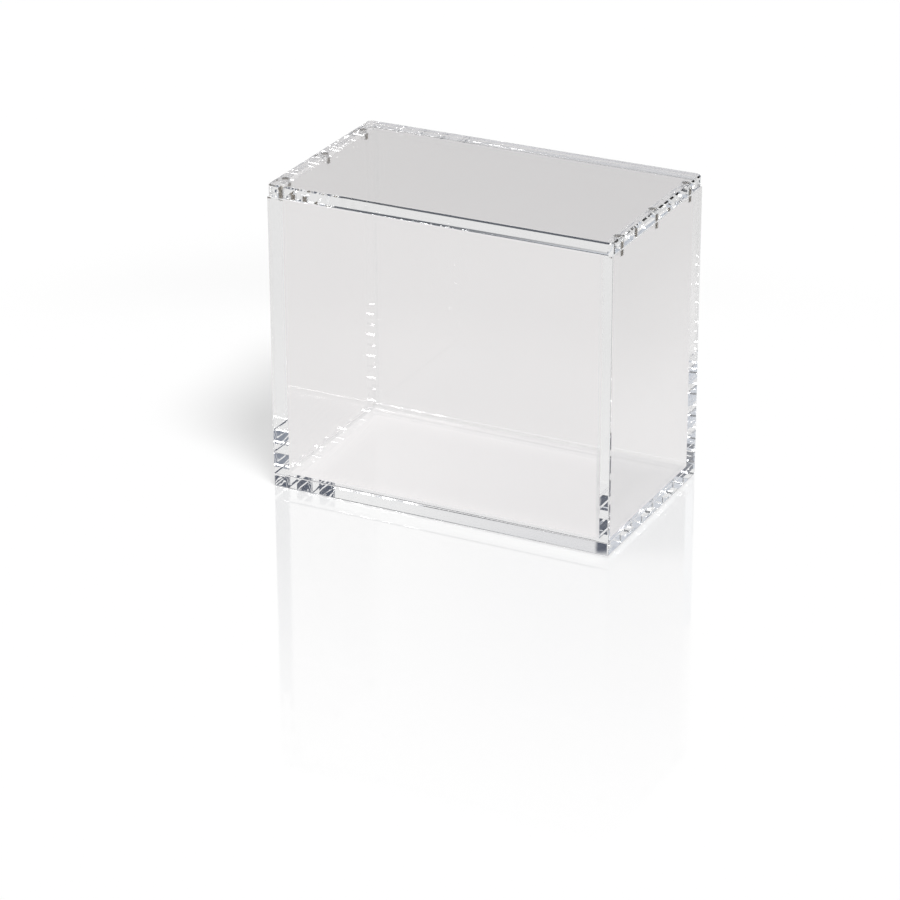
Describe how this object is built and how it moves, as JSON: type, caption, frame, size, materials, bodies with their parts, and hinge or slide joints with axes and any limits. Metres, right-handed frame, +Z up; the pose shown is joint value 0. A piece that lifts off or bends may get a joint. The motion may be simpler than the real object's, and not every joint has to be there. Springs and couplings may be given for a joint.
{
  "type": "booster box case",
  "caption": "Clear acrylic display case for one sealed booster box: a welded open-topped box with a flush lift-off lid held down by small embedded magnets.",
  "frame": {"origin": "middle of the base's underside, on the surface that the case stands on", "axes": "+X along the long front, +Y from front to back, +Z up towards the lid"},
  "size_m": [0.156, 0.09, 0.1366],
  "materials": {
    "clear_acrylic": "clear cast acrylic, polished faces and edges",
    "nickel_plate": "bright nickel plating"
  },
  "bodies": {
    "case": {"base_panel": "clear_acrylic", "front_panel": "clear_acrylic", "back_panel": "clear_acrylic", "left_panel": "clear_acrylic", "right_panel": "clear_acrylic", "left_wall_magnet_front": "nickel_plate", "left_wall_magnet_middle": "nickel_plate", "left_wall_magnet_rear": "nickel_plate", "right_wall_magnet_front": "nickel_plate", "right_wall_magnet_middle": "nickel_plate", "right_wall_magnet_rear": "nickel_plate"},
    "lid": {"lid_panel": "clear_acrylic", "left_lid_magnet_front": "nickel_plate", "left_lid_magnet_middle": "nickel_plate", "left_lid_magnet_rear": "nickel_plate", "right_lid_magnet_front": "nickel_plate", "right_lid_magnet_middle": "nickel_plate", "right_lid_magnet_rear": "nickel_plate"}
  },
  "joints": [
    {"name": "lid_lift", "type": "slide", "parent": "case", "child": "lid", "axis": [0, 0, 1], "range_m": [0, 0.15]}
  ]
}
